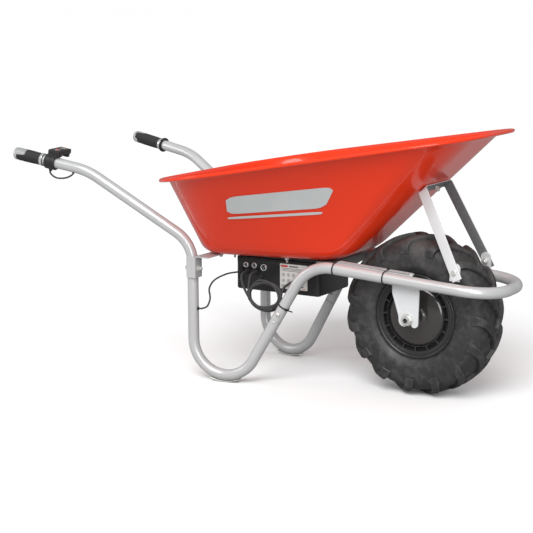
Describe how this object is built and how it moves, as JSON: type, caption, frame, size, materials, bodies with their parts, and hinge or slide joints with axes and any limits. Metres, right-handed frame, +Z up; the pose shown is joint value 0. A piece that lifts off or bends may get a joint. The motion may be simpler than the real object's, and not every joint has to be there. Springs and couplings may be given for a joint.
{
  "type": "power wheelbarrow",
  "caption": "Powered garden wheelbarrow with a pressed tray on a tube frame, a hub-motor front wheel, a battery box under the tray and a twist throttle on the right handle.",
  "frame": {"origin": "centre of the bounding box at ground level", "axes": "+X ahead towards the wheel, +Y to the left-hand side of someone pushing, +Z up"},
  "size_m": [1.3087, 0.6686, 0.6535],
  "materials": {
    "frame_tube": "satin silver coating",
    "bright_bracket": "light silver coating",
    "tray_paint": "glossy orange-red coating",
    "zinc_fastener": "bright zinc plate",
    "dark_channel": "dark grey coating",
    "black_plastic": "fine moulded grain",
    "black_gloss_plastic": "smooth moulding",
    "black_rubber": "soft matt",
    "cable_sheath": "smooth black sheath",
    "tyre_tread": "charcoal",
    "black_rim": "semi-gloss black coating",
    "rating_label": "printed film",
    "battery_case": "shrink wrap",
    "controller_case": "cast",
    "motor_winding": "laminated core with windings",
    "plated_steel": "polished",
    "button_red": "gloss"
  },
  "bodies": {
    "frame": {"handle_tube_right": "frame_tube", "handle_tube_left": "frame_tube", "front_loop_tube": "frame_tube", "foot_shoe_left": "zinc_fastener", "foot_shoe_right": "zinc_fastener", "leg_saddle_left": "frame_tube", "leg_saddle_right": "frame_tube", "rear_cross_strip": "frame_tube", "front_cross_channel": "dark_channel", "fork_rail_left": "bright_bracket", "fork_rail_right": "bright_bracket", "fork_plate_left": "bright_bracket", "fork_plate_right": "bright_bracket", "saddle_bolt_left": "zinc_fastener", "saddle_bolt_right": "zinc_fastener", "joint_bolt_left": "zinc_fastener", "joint_bolt_right": "zinc_fastener", "tray": "tray_paint", "tray_strut": "bright_bracket", "strut_tab_left": "bright_bracket", "strut_tab_right": "bright_bracket", "strut_bolt_left": "zinc_fastener", "strut_bolt_right": "zinc_fastener", "strut_crown_bolt": "zinc_fastener", "tray_bolt_left": "zinc_fastener", "tray_bolt_right": "zinc_fastener", "power_box": "black_plastic", "power_box_lid": "black_gloss_plastic", "battery_pack": "battery_case", "motor_controller": "controller_case", "rating_label": "rating_label", "panel_socket_1": "plated_steel", "panel_socket_2": "plated_steel", "panel_socket_3": "plated_steel", "cable_gland_1": "black_rubber", "cable_gland_2": "black_rubber", "cable_gland_3": "black_rubber", "axle": "plated_steel", "axle_nut_left": "zinc_fastener", "axle_nut_right": "zinc_fastener", "motor_stator": "motor_winding", "grip_left": "black_rubber", "grip_ring_left": "black_plastic", "throttle_housing": "black_plastic", "gauge_box": "black_plastic", "throttle_cable_upper": "cable_sheath", "throttle_cable_lower": "cable_sheath", "cable_coil": "cable_sheath", "motor_cable_drop": "cable_sheath", "sensor_cable_drop": "cable_sheath", "motor_cable_run": "cable_sheath"},
    "drive_wheel": {"tyre": "tyre_tread", "wheel_rim": "black_rim", "motor_cover_left": "black_rim", "motor_cover_right": "black_rim", "hub_bearing_left": "plated_steel", "hub_bearing_right": "plated_steel"},
    "twist_grip": {"throttle_grip": "black_rubber"},
    "push_button": {"power_button": "button_red"}
  },
  "joints": [
    {"name": "wheel_spin", "type": "hinge", "parent": "frame", "child": "drive_wheel", "pos_m": [0.41235, 0, 0.2], "axis": [0, 1, 0], "continuous": true},
    {"name": "throttle_twist", "type": "hinge", "parent": "frame", "child": "twist_grip", "pos_m": [-0.65165, -0.2622, 0.5626], "axis": [0.9768, 0.1312, -0.1695], "range_deg": [0, 65], "stiffness_Nm_per_rad": 0.3, "springref_deg": -11.46},
    {"name": "power_button_press", "type": "slide", "parent": "frame", "child": "push_button", "axis": [-0.171, 0, -0.9853], "range_m": [0, 0.0015], "stiffness_N_per_m": 400, "springref_m": -0.001}
  ]
}
